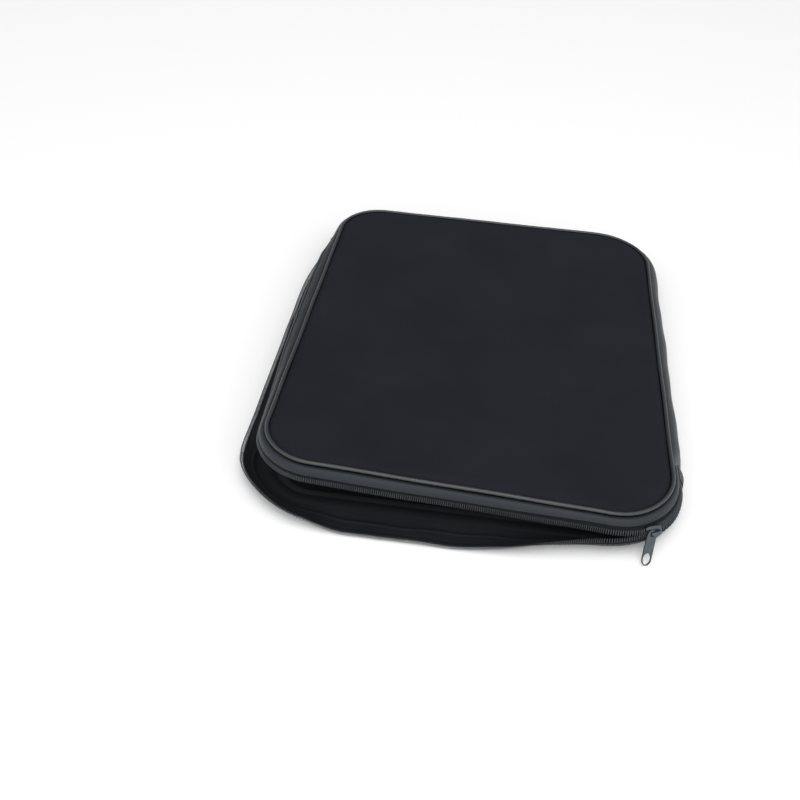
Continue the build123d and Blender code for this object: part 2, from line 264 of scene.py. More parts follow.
# Short fibres that stand out of a matt cloth: they bump the surface, and painted glints, small lighter
# specks in the colour, stand in for the light they catch
nap_and_glints, nap_in, nap_and_glints_out = effect_group(
    "raised_nap_and_painted_glints",
    [("Place", "NodeSocketVector", None), ("Fibre", "NodeSocketFloat", 0.0008)],
    ["Height", "Tone"],
)
nap_noise = nap_and_glints.nodes.new("ShaderNodeTexNoise")
nap_noise.inputs["Detail"].default_value = 4
nap_noise.inputs["Roughness"].default_value = 0.65
nap_and_glints.links.new(nap_in.outputs["Place"], nap_noise.inputs["Vector"])
nap_and_glints.links.new(reckon(nap_and_glints, "DIVIDE", 1, nap_in.outputs["Fibre"]), nap_noise.inputs["Scale"])
nap_and_glints.links.new(nap_noise.outputs["Fac"], nap_and_glints_out.inputs["Height"])
# Painted glints: small specks with a lighter Tone, where fibres would catch the light
painted_glint_cells = nap_and_glints.nodes.new("ShaderNodeTexVoronoi")
nap_and_glints.links.new(nap_in.outputs["Place"], painted_glint_cells.inputs["Vector"])
nap_and_glints.links.new(reckon(nap_and_glints, "DIVIDE", 0.12, nap_in.outputs["Fibre"]), painted_glint_cells.inputs["Scale"])
nap_and_glints.links.new(reckon(nap_and_glints, "LESS_THAN", painted_glint_cells.outputs["Distance"], 0.09), nap_and_glints_out.inputs["Tone"])


def cloth_finish(name, dark, light, thread, depth, roughness, shine, sheen, laid=None, patch=50 * mm):
    """A woven or knitted cloth. laid is a cut strip's length and width, if the threads follow it."""
    finish = bpy.data.materials.new(name)
    finish.use_nodes = True
    tree = finish.node_tree
    shader = tree.nodes["Principled BSDF"]
    place = tree.nodes.new("ShaderNodeTexCoord")
    cloth_place = place.outputs["Object"]
    if laid:
        stretch = tree.nodes.new("ShaderNodeMapping")
        stretch.inputs["Scale"].default_value = (laid[0], laid[1], 1)
        tree.links.new(place.outputs["UV"], stretch.inputs["Vector"])
        cloth_place = stretch.outputs["Vector"]
    threads = tree.nodes.new("ShaderNodeGroup")
    threads.node_tree = weave
    threads.inputs["Thread"].default_value = thread
    tree.links.new(cloth_place, threads.inputs["Place"])
    patches = tree.nodes.new("ShaderNodeGroup")
    patches.node_tree = handled
    patches.inputs["Size"].default_value = patch
    tree.links.new(place.outputs["Object"], patches.inputs["Place"])
    fibres_and_glints = tree.nodes.new("ShaderNodeGroup")
    fibres_and_glints.node_tree = nap_and_glints
    fibres_and_glints.inputs["Fibre"].default_value = thread * 0.8
    tree.links.new(place.outputs["Object"], fibres_and_glints.inputs["Place"])
    share = reckon(tree, "MULTIPLY_ADD", threads.outputs["Tone"], 0.35, -0.1)
    share = reckon(tree, "ADD", share, reckon(tree, "MULTIPLY", patches.outputs["Tone"], 0.75))
    # Painted glints from the nap lighten the colour in small specks
    share = reckon(tree, "MULTIPLY_ADD", fibres_and_glints.outputs["Tone"], 0.6, share)
    colour = tree.nodes.new("ShaderNodeMix")
    colour.data_type = "RGBA"
    colour.inputs["A"].default_value = (*dark, 1)
    colour.inputs["B"].default_value = (*light, 1)
    tree.links.new(share, colour.inputs["Factor"])
    tree.links.new(colour.outputs["Result"], shader.inputs["Base Color"])
    rough = reckon(tree, "MULTIPLY_ADD", patches.outputs["Tone"], 0.16, roughness - 0.08)
    tree.links.new(rough, shader.inputs["Roughness"])
    height = reckon(tree, "MULTIPLY_ADD", fibres_and_glints.outputs["Height"], 0.7, threads.outputs["Height"])
    bump = tree.nodes.new("ShaderNodeBump")
    bump.inputs["Strength"].default_value = 0.5
    bump.inputs["Distance"].default_value = depth
    tree.links.new(height, bump.inputs["Height"])
    tree.links.new(bump.outputs["Normal"], shader.inputs["Normal"])
    shader.inputs["Specular IOR Level"].default_value = shine
    shader.inputs["Sheen Weight"].default_value = sheen
    shader.inputs["Sheen Roughness"].default_value = 0.45
    return finish


shell_cloth = cloth_finish(
    "shell_cloth", dark=(0.0076, 0.0085, 0.0122), light=(0.0172, 0.0190, 0.0260),
    thread=0.55 * mm, depth=0.10 * mm, roughness=0.8, shine=0.08, sheen=0.01,
)
lining_cloth = cloth_finish(
    "lining_cloth", dark=(0.0040, 0.0046, 0.0060), light=(0.0090, 0.0100, 0.0130),
    thread=0.3 * mm, depth=0.04 * mm, roughness=0.65, shine=0.15, sheen=0.01,
)
roll_width = 6 * mm
roll_drop = 2.4 * mm
swell_width = 70 * mm
swell_height = 0.45 * mm
unevenness = 0.22 * mm
firm_rim = 30 * mm


def foam_pad(name, level, thickness):
    """A foam pad in its cloth, whose upper side swells a little and rolls off at its rim."""
    pad = cut_panel(name)
    thicken(pad, thickness)
    points = points_of(pad)
    rim = inside_outline(points[:, 0], points[:, 1])
    roll_off = np.clip(1 - rim / roll_width, 0, 1) ** 2.2 * roll_drop
    inwards = np.clip(rim / swell_width, 0, 1)
    swell = swell_height * inwards * (2 - inwards)
    dents = np.sin(points[:, 0] * 61 + 1.3) * np.sin(points[:, 1] * 47)
    waves = np.sin(points[:, 1] * 83 + points[:, 0] * 29)
    uneven = unevenness * (dents + waves) * np.clip(rim / firm_rim, 0, 1)
    points[:, 2] += np.where(points[:, 2] > 0, swell - roll_off + uneven, 0)
    points[:, 2] += level
    set_points(pad, points)
    return pad


table_gap = 0.2 * mm
base_panel = foam_pad("base_panel", (skin + foam + table_gap) / 2, skin + foam - table_gap)
base_panel.data.materials.append(shell_cloth)
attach(base_panel, "lower_shell")
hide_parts("base_outer", "base_foam")

base_inside = cut_panel("base_inside")
thicken(base_inside, skin)
base_inside_level = 4.7 * mm
base_inside_drop = 0.9 * mm
base_slack = 0.25 * mm
base_points = points_of(base_inside)
base_rim = inside_outline(base_points[:, 0], base_points[:, 1])
base_points[:, 2] += base_inside_level - base_inside_drop * np.clip(1 - base_rim / roll_width, 0, 1) ** 2
base_points[:, 2] += base_slack * np.sin(base_points[:, 0] * 52) * np.sin(base_points[:, 1] * 41 + 0.7)
set_points(base_inside, base_points)
base_inside.data.materials.append(lining_cloth)
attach(base_inside, "lower_shell")
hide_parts("base_lining")

# ------------------------------------------------------------------ base piping
# A cord wrapped in satin bias tape and sewn into the seam all round the base panel. The seam's
# line is walked clockwise from where the zip begins on the right side.
seam_begin = np.array([144, -128]) * mm
front_run = 12.25 * mm
spine_turn = (spine_radius * math.pi / 2, spine_radius)
mouth_turn = (mouth_radius * math.pi / 2, mouth_radius)
short_run = (panel_width - spine_radius - mouth_radius, 0)
left_run = (panel_depth - 2 * mouth_radius, 0)
right_run = panel_depth - 2 * spine_radius
seam_walk = [
    (front_run, 0), spine_turn, short_run, mouth_turn, left_run,
    mouth_turn, short_run, spine_turn, (right_run - front_run, 0),
]
seam_round = sum(length for length, radius in seam_walk)
zip_end = 647.6 * mm


def on_seam(walked):
    """The seam's place and its outward way, after walking those lengths along it."""
    walked = np.mod(walked, seam_round)
    place = np.zeros((len(walked), 2))
    outward = np.zeros((len(walked), 2))
    begun = 0.0
    corner = seam_begin
    heading = -math.pi / 2
    nearly = 1e-9
    for length, radius in seam_walk:
        ahead = np.array([math.cos(heading), math.sin(heading)])
        aside = np.array([-ahead[1], ahead[0]])
        here = (walked >= begun - nearly) & (walked <= begun + length + nearly)
        gone = (walked[here] - begun)[:, None]
        if radius:
            turned = gone / radius
            centre = corner - aside * radius
            way = aside * np.cos(turned) + ahead * np.sin(turned)
            place[here] = centre + way * radius
            outward[here] = way
            corner = centre + ahead * radius
            heading -= math.pi / 2
        else:
            place[here] = corner + ahead * gone
            outward[here] = aside
            corner = corner + ahead * length
        begun += length
    return place, outward


def stand_on_seam(walked, out, height):
    """Points at those distances outwards from the seam and heights above the table."""
    place, outward = on_seam(walked)
    return np.column_stack([place + outward * out[:, None], height])


piping_radius = 1.4 * mm
merge_distance = 0.01 * mm


def close_piece(mend_normals):
    """Merge the active piece's points where its ends meet, and turn its faces outwards if asked."""
    bpy.ops.object.mode_set(mode="EDIT")
    bpy.ops.mesh.select_all(action="SELECT")
    bpy.ops.mesh.remove_doubles(threshold=merge_distance)
    if mend_normals:
        bpy.ops.mesh.normals_make_consistent(inside=False)
    bpy.ops.object.mode_set(mode="OBJECT")


def sew_piping(name, height):
    """Bias tape rolled round a cord and laid along the seam, closed on itself."""
    piping = cut_cloth(name, along=620, across=11)
    share = points_of(piping)
    walked = (share[:, 0] + 1) / 2 * seam_round
    angle = share[:, 1] * math.pi
    pucker = 1 + 0.035 * np.sin(walked * 900) + 0.03 * np.sin(walked * 210 + 1)
    drift = 0.18 * mm * np.sin(walked * 2 * math.pi * 13 / seam_round)
    out = drift + piping_radius * pucker * np.cos(angle)
    up = height + piping_radius * pucker * np.sin(angle)
    set_points(piping, stand_on_seam(walked, out, up))
    close_piece(mend_normals=True)
    bpy.ops.object.shade_smooth()
    return piping


piping_satin = cloth_finish(
    "piping_satin", dark=(0.0100, 0.0122, 0.0150), light=(0.0220, 0.0260, 0.0310),
    thread=0.35 * mm, depth=0.05 * mm, roughness=0.34, shine=0.7, sheen=0.02,
    laid=(seam_round, 10 * mm),
)
base_piping_height = 1.75 * mm
base_piping = sew_piping("base_piping_tape", base_piping_height)
base_piping.data.materials.append(piping_satin)
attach(base_piping, "lower_shell")
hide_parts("base_piping")

# ------------------------------------------------------------------ cover panel
# The upper foam panel, one piece that bends. It is fixed along the back and the spine side, and
# its free front corner is lifted about a slanting fold between the zip's end and the slider.
fold_corner = Vector((129.941, -174.191, 30)) * mm
fold_way = np.array([0.647756, -0.761848])
flap_way = np.array([-0.761848, -0.647756])
fold_bend = 45 * mm
rest_lift = math.radians(4.081)


def lift_corner(points):
    """Bend the points upwards past the fold, as far as the free corner stands open at rest."""
    corner = np.array(fold_corner[:2])
    past = (points[:, :2] - corner) @ flap_way
    along = (points[:, :2] - corner) @ fold_way
    above = points[:, 2] - fold_corner.z
    share = np.clip(past / fold_bend, 0, 1)
    turn = rest_lift * share * share * (3 - 2 * share)
    new_past = past * np.cos(turn) - above * np.sin(turn)
    new_above = above * np.cos(turn) + past * np.sin(turn)
    flat = corner + along[:, None] * fold_way + new_past[:, None] * flap_way
    return np.column_stack([flat, new_above + fold_corner.z])


def hinge_on_fold(piece):
    """Raise the piece's free corner, bending its points about the fold between the shell and the flap."""
    set_points(piece, lift_corner(points_of(piece)))
    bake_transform(piece)


cover_panel = foam_pad("cover_panel", shut_height - (skin + foam) / 2, skin + foam)
hinge_on_fold(cover_panel)
cover_panel.data.materials.append(shell_cloth)
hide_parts("cover_outer_rear", "cover_outer_flap", "cover_foam_rear", "cover_foam_flap")

cover_inside = cut_panel("cover_inside")
thicken(cover_inside, skin)
cover_inside_depth = 4.6 * mm
cover_slack = 0.2 * mm
cover_points = points_of(cover_inside)
cover_points[:, 2] += shut_height - cover_inside_depth
cover_points[:, 2] += cover_slack * np.sin(cover_points[:, 0] * 57) * np.sin(cover_points[:, 1] * 39 + 0.7)
set_points(cover_inside, cover_points)
hinge_on_fold(cover_inside)
cover_inside.data.materials.append(lining_cloth)
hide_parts("cover_lining_rear", "cover_lining_flap")

# ------------------------------------------------------------------ cover piping
# The same satin piping round the upper panel, standing a little proud of its rolled edge.
cover_piping_depth = 1.6 * mm
cover_piping = sew_piping("cover_piping", shut_height - cover_piping_depth)
hinge_on_fold(cover_piping)
cover_piping.data.materials.append(piping_satin)
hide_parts("cover_piping_rear", "cover_piping_flap")

# ------------------------------------------------------------------ seam bindings inside
# Woven tape that covers the raw seam allowance round the inside of each panel.
binding_width = 8 * mm
binding_begin = 1.9 * mm
binding_level = 5.1 * mm
binding_thickness = 0.5 * mm
binding_tape = cloth_finish(
    "binding_tape", dark=(0.010, 0.011, 0.013), light=(0.022, 0.024, 0.028),
    thread=0.5 * mm, depth=0.06 * mm, roughness=0.7, shine=0.25, sheen=0.05,
    laid=(seam_round, 9 * mm),
)


def bind_seam(name, level, up):
    """Binding along the inside of a panel's edge; up is 1 on top of the panel and -1 under it."""
    binding = cut_cloth(name, along=420, across=6)
    share = points_of(binding)
    walked = (share[:, 0] + 1) / 2 * seam_round
    across = (share[:, 1] + 1) / 2
    out = -binding_begin - binding_width * across
    padding = 0.35 * mm
    swell = padding * np.sin(across * math.pi) ** 0.6 + 0.08 * mm * np.sin(walked * 420)
    set_points(binding, stand_on_seam(walked, out, level + up * (padding + swell)))
    close_piece(mend_normals=False)
    thicken(binding, binding_thickness)
    binding.data.materials.append(binding_tape)
    return binding


base_tape = bind_seam("base_binding_tape", binding_level, 1)
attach(base_tape, "lower_shell")
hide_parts("base_binding")
cover_tape = bind_seam("cover_binding_tape", shut_height - binding_level, -1)
hinge_on_fold(cover_tape)
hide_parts("cover_binding_rear", "cover_binding_flap")

# ------------------------------------------------------------------ spine gusset
# A strip of smooth cloth that joins the two panels along the back and the right side. It folds
# outwards along its middle and sags onto the table below that.
gusset_smooth = cloth_finish(
    "gusset_smooth", dark=(0.0100, 0.0132, 0.0170), light=(0.0175, 0.0224, 0.0282),
    thread=0.4 * mm, depth=0.05 * mm, roughness=0.5, shine=0.3, sheen=0.05,
    laid=(seam_round, 20 * mm), patch=35 * mm,
)
slackening = 28 * mm
resting_height = 0.7 * mm

# Bends of the gusset's upper and lower half, as (out from the seam, up) in mm: an end, the point
# it sets off towards, the point it comes in from, and the other end
tied_bends = (
    np.array([(1.0, 26.9), (4.6, 25.0), (5.9, 19.6), (8.2, 15.5)]),
    np.array([(8.2, 15.5), (13.2, 7.2), (8.6, 2.9), (1.9, 2.2)]),
)
slack_bends = (
    np.array([(1.0, 26.9), (6.6, 25.6), (9.2, 21.0), (10.4, 15.0)]),
    np.array([(10.4, 15.0), (11.8, 8.2), (17.0, 0.3), (1.9, 2.2)]),
)


def eased(share):
    """A share that starts and ends gently, held between 0 and 1."""
    share = np.clip(share, 0, 1)
    return share * share * (3 - 2 * share)


def bend_strip(t, begin, towards, comes_from, end):
    """Places along a smooth bend, where t is 0 at its begin and 1 at its end, and its way there."""
    spot = begin * (1 - t) ** 3 + 3 * towards * t * (1 - t) ** 2
    spot = spot + 3 * comes_from * t**2 * (1 - t) + end * t**3
    way = (towards - begin) * (1 - t) ** 2 + 2 * (comes_from - towards) * t * (1 - t)
    way = way + (end - comes_from) * t**2
    return spot, way / np.linalg.norm(way, axis=1)[:, None]


def spine_cloth(walked, share):
    """Points on the spine gusset: share runs from the cover's seam down to the base's seam."""
    free = eased((walked - zip_end) / slackening) * eased((seam_round - walked) / slackening)
    upper_half = share <= 0.5
    t = np.where(upper_half, share, share - 0.5)[:, None] * 2
    tied = np.where(upper_half[:, None, None], *tied_bends)
    slack = np.where(upper_half[:, None, None], *slack_bends)
    bend = np.moveaxis((tied + (slack - tied) * free[:, None, None]) * mm, 1, 0)
    spot, _ = bend_strip(t, *bend)
    belly = np.sin(share * math.pi) * free
    ruck = 0.45 * mm * np.sin(walked * 53) + 0.25 * mm * np.sin(walked * 131 + 1 + share * 3)
    return stand_on_seam(walked, spot[:, 0] + ruck * belly, np.maximum(spot[:, 1], resting_height))


def lay_strip(name, begin, end, along, across, shape, thickness):
    """A cut strip laid along the seam between two walks, in the shape that is given."""
    strip = cut_cloth(name, along, across)
    share = points_of(strip)
    walked = begin + (share[:, 0] + 1) / 2 * (end - begin)
    set_points(strip, shape(walked, (share[:, 1] + 1) / 2))
    thicken(strip, thickness)
    return strip


spine_overlap = 1 * mm
spine_gusset = lay_strip(
    "spine_gusset_cloth", zip_end - spine_overlap, seam_round + spine_overlap,
    along=300, across=22, shape=spine_cloth, thickness=1.0 * mm,
)
spine_gusset.data.materials.append(gusset_smooth)
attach(spine_gusset, "lower_shell")
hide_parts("spine_gusset")

# ------------------------------------------------------------------ upper zip gusset
# The strip between the cover's seam and the zip: a narrow gusset with a folded hem, sewn over
# the tape of the upper row. It hangs out over the open mouth.
mouth_begin = 63.5 * mm
upper_length = 13.4 * mm
strip_begin = 0.5 * mm
strip_end = zip_end - 0.5 * mm
cover_seam = np.array([1.0, 26.9]) * mm
cover_seam_way = np.array([0.9, -0.44])
upper_wave = 0.35 * mm
hem_narrow = 6.9 * mm
hem_widening = 1.2 * mm
seam_dip = 1.7 * mm

# How the strip hangs along its walk, in mm: (walked, how far out and how far up its end is, lean)
upper_hang = np.array([
    (0, 8.2, 15.5, 0.485),
    (63.5, 8.2, 15.5, 0.485),
    (110, 5.6, 14.9, 0.12),
    (280, 5.4, 14.5, 0.1),
    (330, 5.0, 14.5, 0.05),
    (400, 8.4, 17.0, 0.1),
    (500, 11.6, 19.5, 0.15),
    (610, 11.2, 19.0, 0.2),
    (648, 8.2, 15.5, 0.485),
])


def upper_cloth(walked, down, proud):
    """Points at lengths down from the cover's seam; the chain's centre is at the strip's end."""
    at, out_there, up_there, lean_there = upper_hang.T
    waving = eased((walked - mouth_begin) / (60 * mm)) * np.sin(walked * 58 + 0.5)
    end_out = np.interp(walked, at * mm, out_there * mm) + upper_wave * waving
    end_up = np.interp(walked, at * mm, up_there * mm)
    lean = np.interp(walked, at * mm, lean_there)
    end = np.column_stack([end_out, end_up])
    end_way = np.column_stack([lean, -np.sqrt(1 - lean**2)])
    towards = cover_seam + cover_seam_way * 4.2 * mm
    comes_from = end - end_way * 5.2 * mm
    t = (down / upper_length)[:, None]
    spot, way = bend_strip(t, cover_seam, towards, comes_from, end)
    beyond = np.maximum(down - upper_length, 0)[:, None]
    spot = np.where(t > 1, end + end_way * beyond, spot)
    way = np.where(t > 1, end_way, way)
    return stand_on_seam(walked, spot[:, 0] - way[:, 1] * proud, spot[:, 1] + way[:, 0] * proud)


def hem_reach(walked):
    """How far down from the cover's seam the folded hem lies."""
    wide = eased((walked - 90 * mm) / (80 * mm)) * eased((zip_end - walked) / (60 * mm))
    return hem_narrow + hem_widening * wide


def hemmed_strip(walked, share):
    """The strip from the seam, where it dips in, down to its folded hem."""
    dome = (0.35 + 0.12 * np.sin(walked * 190)) * mm * np.sin(share * math.pi)
    dip = seam_dip * np.exp(-((share * 5) ** 2))
    return upper_cloth(walked, share * hem_reach(walked), dome - dip)


upper_gusset = lay_strip(
    "upper_gusset", strip_begin, strip_end,
    along=330, across=18, shape=hemmed_strip, thickness=1.1 * mm,
)
hinge_on_fold(upper_gusset)
upper_gusset.data.materials.append(gusset_smooth)
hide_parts("upper_gusset_rear", "upper_gusset_flap")


def upper_inside(walked, share):
    """The lining: from the cover's binding, over the seam, and down the strip to the tape."""
    down = share * 10.4 * mm - 4 * mm
    on_strip = upper_cloth(walked, np.maximum(down, 0), np.full_like(down, -1.0 * mm))
    on_panel = stand_on_seam(walked, down + 0.6 * mm, np.full_like(down, 24.5 * mm))
    over = eased((down + 2.4 * mm) / (5 * mm))[:, None]
    return on_panel * (1 - over) + on_strip * over


upper_lining = lay_strip(
    "upper_gusset_inside", strip_begin, strip_end,
    along=240, across=14, shape=upper_inside, thickness=0.5 * mm,
)
hinge_on_fold(upper_lining)
upper_lining.data.materials.append(lining_cloth)
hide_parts("upper_gusset_lining_rear", "upper_gusset_lining_flap")

# ------------------------------------------------------------------ lower zip gusset
# The matching strip on the base: it stands up where the zip is shut, and falls outwards onto the
# table round the open mouth, so that its lining shows. A hem ridge runs along that lining.
lower_length = 18.5 * mm
lower_width = 13.3 * mm
shut_run = 11.88 * mm
tape_run = 6.6 * mm
shut_gusset_tilt = 53.1
shut_tape_tilt = -29
fallen_tilt = 90
left_corner_walk = 319.5 * mm
ripple_height = 0.7 * mm


def fallen(walked):
    """How far the strip has fallen outwards: 0 upright, 1 flat, and less at the left corner."""
    fall = np.minimum(eased((walked - mouth_begin) / (130 * mm)), eased((zip_end - walked) / (110 * mm)))
    held_up = 0.6 * (1 - eased(np.abs(walked - left_corner_walk) / (62 * mm)))
    return fall * (1 - held_up)


def tilted(degrees):
    """The way that leans outwards from upright by those degrees, as (out, up)."""
    tilt = np.radians(degrees)
    return np.column_stack([np.sin(tilt), np.cos(tilt)])


def lower_cloth(walked, up_strip, proud):
    """Points at lengths up from the base's seam; the chain's centre is at the strip's end."""
    fall = fallen(walked)
    seam = np.column_stack([(1.9 + 3.6 * fall) * mm, (2.6 - 1.2 * fall) * mm])
    gusset_way = tilted(shut_gusset_tilt + (fallen_tilt - shut_gusset_tilt) * fall)
    tape_way = tilted(shut_tape_tilt + (fallen_tilt - shut_tape_tilt) * fall)
    end = seam + gusset_way * shut_run + tape_way * tape_run
    towards = seam + gusset_way * shut_run * 0.62
    comes_from = end - tape_way * tape_run * 0.85
    t = (up_strip / lower_length)[:, None]
    spot, way = bend_strip(t, seam, towards, comes_from, end)
    beyond = np.maximum(up_strip - lower_length, 0)[:, None]
    spot = np.where(t > 1, end + tape_way * beyond, spot)
    waves = 1 + np.sin(walked * 88 + 0.6) * 0.6 + np.sin(walked * 147 + 2) * 0.4
    ripple = ripple_height * waves * fall * np.sin(np.clip(t[:, 0], 0, 1) * math.pi * 0.8)
    up = spot[:, 1] - way[:, 0] * proud + ripple
    return stand_on_seam(walked, spot[:, 0] + way[:, 1] * proud, up)


def lower_face(walked, share):
    """The strip from the base's seam to its hem."""
    return lower_cloth(walked, share * lower_width, np.full_like(share, 0.15 * mm))


lower_gusset = lay_strip(
    "lower_gusset_cloth", strip_begin, strip_end,
    along=330, across=16, shape=lower_face, thickness=1.0 * mm,
)
lower_gusset.data.materials.append(gusset_smooth)
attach(lower_gusset, "lower_shell")
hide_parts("lower_gusset")


def lower_inside(walked, share):
    """The lining: from the base's binding, over the seam, and out along the fallen strip."""
    up_strip = share * 19.5 * mm - 6 * mm
    ridge_walk = (5.8 + 0.9 * np.sin(walked * 61) + 0.5 * np.sin(walked * 149)) * mm
    ridge = np.exp(-(((up_strip - ridge_walk) / (1.1 * mm)) ** 2))
    on_strip = lower_cloth(walked, np.maximum(up_strip, 0), -0.9 * mm - 0.6 * mm * ridge)
    on_panel = stand_on_seam(walked, up_strip + 1.2 * mm, np.full_like(up_strip, 5.9 * mm))
    over = eased((up_strip + 4 * mm) / (9 * mm))[:, None]
    return on_panel * (1 - over) + on_strip * over


lower_lining = lay_strip(
    "lower_gusset_inside", strip_begin, strip_end,
    along=330, across=40, shape=lower_inside, thickness=0.5 * mm,
)
lower_lining.data.materials.append(lining_cloth)
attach(lower_lining, "lower_shell")
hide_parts("lower_gusset_lining")

# ------------------------------------------------------------------ zip tapes
# Two herringbone tapes that carry the rows. A narrow strip of each shows between the gusset's
# hem and the coil.
tape_weave = cloth_finish(
    "tape_weave", dark=(0.0035, 0.0040, 0.0050), light=(0.0090, 0.0100, 0.0120),
    thread=0.7 * mm, depth=0.12 * mm, roughness=0.8, shine=0.12, sheen=0.01,
    laid=(647 * mm, 4 * mm),
)


def upper_tape_face(walked, share):
    """The upper tape, from behind the hem down to the coil."""
    return upper_cloth(walked, (6.0 + share * 4.7) * mm, -0.55 * mm * (1 - share))


def lower_tape_face(walked, share):
    """The lower tape, from behind the hem up to the coil."""
    return lower_cloth(walked, (12.2 + share * 3.6) * mm, -0.3 * mm * (1 - share))


upper_tape = lay_strip(
    "upper_zip_tape", strip_begin, zip_end - 2 * mm,
    along=330, across=3, shape=upper_tape_face, thickness=0.5 * mm,
)
hinge_on_fold(upper_tape)
upper_tape.data.materials.append(tape_weave)
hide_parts("upper_zip_tape_rear", "upper_zip_tape_flap")
lower_tape = lay_strip(
    "lower_zip_tape_cloth", strip_begin, strip_end,
    along=330, across=3, shape=lower_tape_face, thickness=0.5 * mm,
)
lower_tape.data.materials.append(tape_weave)
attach(lower_tape, "lower_shell")
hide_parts("lower_zip_tape")

# ------------------------------------------------------------------ coil rows
# Each row is a polyester filament wound into flattened turns, sewn to its tape. One turn is made
# from a ring, drawn out long, and repeated along the row.
turn_pitch = 1.45 * mm
turn_radius = 0.68 * mm
filament_radius = 0.36 * mm
turn_stretch = 1.95 * mm
turn_flattening = 0.68
row_begin = 3 * mm
row_end = zip_end - 6 * mm
turn_middle = 2.6 * mm


def hard_finish(name, dark, light, patch, roughness, roughening):
    """A smooth hard finish whose colour and gloss change a little in handled patches."""
    finish = bpy.data.materials.new(name)
    finish.use_nodes = True
    tree = finish.node_tree
    shader = tree.nodes["Principled BSDF"]
    place = tree.nodes.new("ShaderNodeTexCoord")
    patches = tree.nodes.new("ShaderNodeGroup")
    patches.node_tree = handled
    patches.inputs["Size"].default_value = patch
    tree.links.new(place.outputs["Object"], patches.inputs["Place"])
    colour = tree.nodes.new("ShaderNodeMix")
    colour.data_type = "RGBA"
    colour.inputs["A"].default_value = (*dark, 1)
    colour.inputs["B"].default_value = (*light, 1)
    tree.links.new(patches.outputs["Tone"], colour.inputs["Factor"])
    tree.links.new(colour.outputs["Result"], shader.inputs["Base Color"])
    rough = reckon(tree, "MULTIPLY_ADD", patches.outputs["Tone"], roughening, roughness)
    tree.links.new(rough, shader.inputs["Roughness"])
    return finish


coil_gloss = hard_finish(
    "coil_gloss", dark=(0.022, 0.026, 0.031), light=(0.070, 0.080, 0.092),
    patch=4 * mm, roughness=0.28, roughening=0.2,
)


def repeat_along(piece, count, pitch):
    """Repeat the active piece in a straight line, that many times."""
    repeat = piece.modifiers.new("repeat", "ARRAY")
    repeat.count = count
    repeat.use_relative_offset = False
    repeat.use_constant_offset = True
    repeat.constant_offset_displace = (pitch, 0, 0)
    bpy.ops.object.modifier_apply(modifier="repeat")


def wind_row(name, shape, chain_at, offset):
    """A row of turns whose chain lies that far along a strip; offset shifts them by that many turns."""
    bpy.ops.object.select_all(action="DESELECT")
    bpy.ops.mesh.primitive_torus_add(
        major_segments=10, minor_segments=5, major_radius=turn_radius, minor_radius=filament_radius,
        rotation=(0, math.pi / 2, 0),
    )
    row = bpy.context.object
    row.name = name
    row.data.name = name
    bpy.ops.object.transform_apply(location=False, rotation=True, scale=True)
    points = points_of(row)
    points[:, 1] += np.where(points[:, 1] > 0, turn_stretch, 0)
    points[:, 0] *= turn_flattening
    leaning = np.sign(points[:, 2]) * np.clip(points[:, 1] / (1.9 * mm), 0, 1)
    points[:, 0] += 0.1 * turn_pitch * leaning
    set_points(row, points)
    repeat_along(row, int((row_end - row_begin) / turn_pitch), turn_pitch)
    points = points_of(row)
    walked = row_begin + (offset + 0.5) * turn_pitch + points[:, 0]
    set_points(row, shape(walked, chain_at - turn_middle + points[:, 1], points[:, 2]))
    bpy.ops.object.shade_smooth()
    row.data.materials.append(coil_gloss)
    return row


upper_row = wind_row("upper_coil_turns", upper_cloth, upper_length, 0)
hinge_on_fold(upper_row)
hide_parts("upper_zip_coil_rear", "upper_zip_coil_flap")
lower_row = wind_row("lower_coil_turns", lower_cloth, lower_length, 0.5)
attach(lower_row, "lower_shell")
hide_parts("lower_zip_coil")

# ------------------------------------------------------------------ slider, pull and stops
# Zinc castings in satin gunmetal: a slider of two wings on a post with an arched crown, a flat
# pull that hangs on the crown, a stop where the zip begins, and a clamp at the end of each row.
gunmetal = hard_finish(
    "gunmetal", dark=(0.050, 0.059, 0.066), light=(0.110, 0.125, 0.136),
    patch=3 * mm, roughness=0.26, roughening=0.18,
)
gunmetal.node_tree.nodes["Principled BSDF"].inputs["Metallic"].default_value = 0.85
bottom_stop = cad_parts["zip_bottom_stop"]
bottom_stop.data.materials.clear()
bottom_stop.data.materials.append(gunmetal)

slider_walk = front_run + spine_radius * math.radians(54)
slider_lean = math.radians(29)
slider_out = 8.2 * mm
slider_height = 15.5 * mm
slider_foot, slider_outward = (found[0] for found in on_seam(np.array([slider_walk])))
plate_out = np.array([*slider_outward * math.cos(slider_lean), math.sin(slider_lean)])
slider_ahead = np.array([slider_outward[1], -slider_outward[0], 0])
plate_down = np.cross(plate_out, slider_ahead)
slider_centre = np.array([*(slider_foot + slider_outward * slider_out), slider_height])


def on_slider(ahead, down, rise):
    """Points at those distances from the slider's centre: to the open end, down, and outwards."""
    across = np.outer(ahead, slider_ahead) + np.outer(down, plate_down)
    return slider_centre + across + np.outer(rise, plate_out)


def cast_metal(name, pieces, thickness, rounding):
    """Join pieces into one casting, give it thickness if it has none yet, and round its edges."""
    bpy.ops.object.select_all(action="DESELECT")
    for piece in pieces:
        piece.select_set(True)
    casting = pieces[0]
    bpy.context.view_layer.objects.active = casting
    if len(pieces) > 1:
        bpy.ops.object.join()
    close_piece(mend_normals=True)
    if thickness:
        thicken(casting, thickness)
    edges = casting.modifiers.new("rounded", "BEVEL")
    edges.width = rounding
    edges.segments = 2
    edges.limit_method = "ANGLE"
    edges.angle_limit = math.radians(40)
    bpy.ops.object.modifier_apply(modifier="rounded")
    bpy.ops.object.shade_smooth_by_angle(angle=math.radians(40))
    casting.name = name
    casting.data.name = name
    casting.data.materials.append(gunmetal)
    return casting


